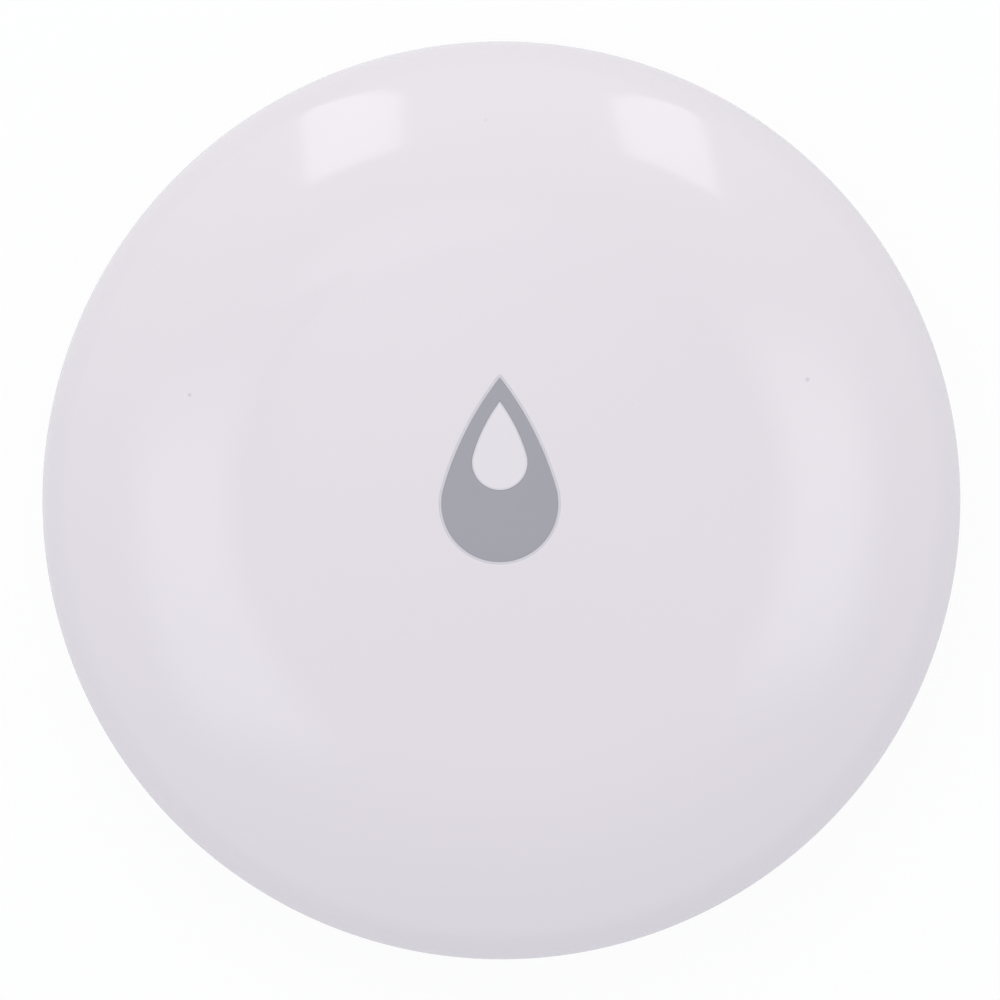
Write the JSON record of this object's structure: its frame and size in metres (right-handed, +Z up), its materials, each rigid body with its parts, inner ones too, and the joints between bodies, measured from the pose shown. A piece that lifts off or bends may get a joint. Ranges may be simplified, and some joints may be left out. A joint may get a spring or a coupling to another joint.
{
  "type": "water leak sensor",
  "caption": "Round battery-powered floor sensor that detects water with metal probes under its base; domed sealed case with a drop-shaped push button and a screw-in battery cover.",
  "frame": {"origin": "on the floor under the middle of the case, level with the soles of the feet", "axes": "+Z up through the button, +Y towards the tip of the drop, +X to the right seen from above"},
  "size_m": [0.05, 0.05, 0.015],
  "materials": {
    "cover_plastic": "smooth satin gloss",
    "base_plastic": "smooth satin gloss",
    "button_plastic": "fine matt",
    "window_plastic": "milky, lets light through",
    "clear_silicone": "soft satin",
    "seal_rubber": "smooth",
    "cell_steel": "nickel plated",
    "cell_nylon": "smooth",
    "black_plastic": "fine matt",
    "spring_metal": "nickel plated",
    "board_laminate": "solder mask over glass cloth",
    "chip_epoxy": "moulded",
    "crystal_metal": "satin",
    "passive_ceramic": "fired",
    "track_copper": "etched",
    "led_lens": "clear resin",
    "switch_steel": "rolled",
    "plunger_plastic": "moulded",
    "probe_gold": "plated, polished",
    "nut_brass": "turned",
    "screw_steel": "zinc plated",
    "foot_rubber": "soft matt"
  },
  "bodies": {
    "case": {"top_cover": "cover_plastic", "button_seal": "clear_silicone", "base": "base_plastic", "case_seal": "seal_rubber", "coin_cell_can": "cell_steel", "coin_cell_gasket": "cell_nylon", "coin_cell_cap": "cell_steel", "battery_frame": "black_plastic", "positive_contact": "spring_metal", "negative_contact": "spring_metal", "circuit_board": "board_laminate", "radio_chip": "chip_epoxy", "crystals": "crystal_metal", "chip_passives": "passive_ceramic", "board_antenna": "track_copper", "status_led": "led_lens", "switch_body": "black_plastic", "switch_frame": "switch_steel", "switch_dome": "switch_steel", "water_probes": "probe_gold", "probe_seals": "seal_rubber", "probe_nuts": "nut_brass", "probe_contacts": "spring_metal", "case_screws": "screw_steel", "board_screws": "screw_steel", "feet": "foot_rubber"},
    "button": {"drop_button": "button_plastic", "light_window": "window_plastic"},
    "plunger": {"switch_plunger": "plunger_plastic"},
    "cover_seal": {"battery_cover_seal": "seal_rubber"},
    "battery_cover": {"battery_cover": "base_plastic"}
  },
  "joints": [
    {"name": "button_press", "type": "slide", "parent": "case", "child": "button", "axis": [0, 0, -1], "range_m": [0, 0.00025], "stiffness_N_per_m": 6400, "deforming": ["button_seal"]},
    {"name": "plunger_press", "type": "slide", "parent": "case", "child": "plunger", "axis": [0, 0, -1], "range_m": [0, 0.00026], "deforming": ["switch_dome"]},
    {"name": "cover_lift", "type": "slide", "parent": "case", "child": "cover_seal", "axis": [0, 0, -1], "range_m": [0, 0.00452]},
    {"name": "cover_turn", "type": "hinge", "parent": "cover_seal", "child": "battery_cover", "pos_m": [0, 0, 0], "axis": [0, 0, -1], "range_deg": [0, 360]}
  ],
  "couplings": [
    {"joint": "plunger_press", "follows": "button_press", "ratio": 1},
    {"joint": "cover_lift", "follows": "cover_turn", "m_per_rad": 0.0007162}
  ]
}
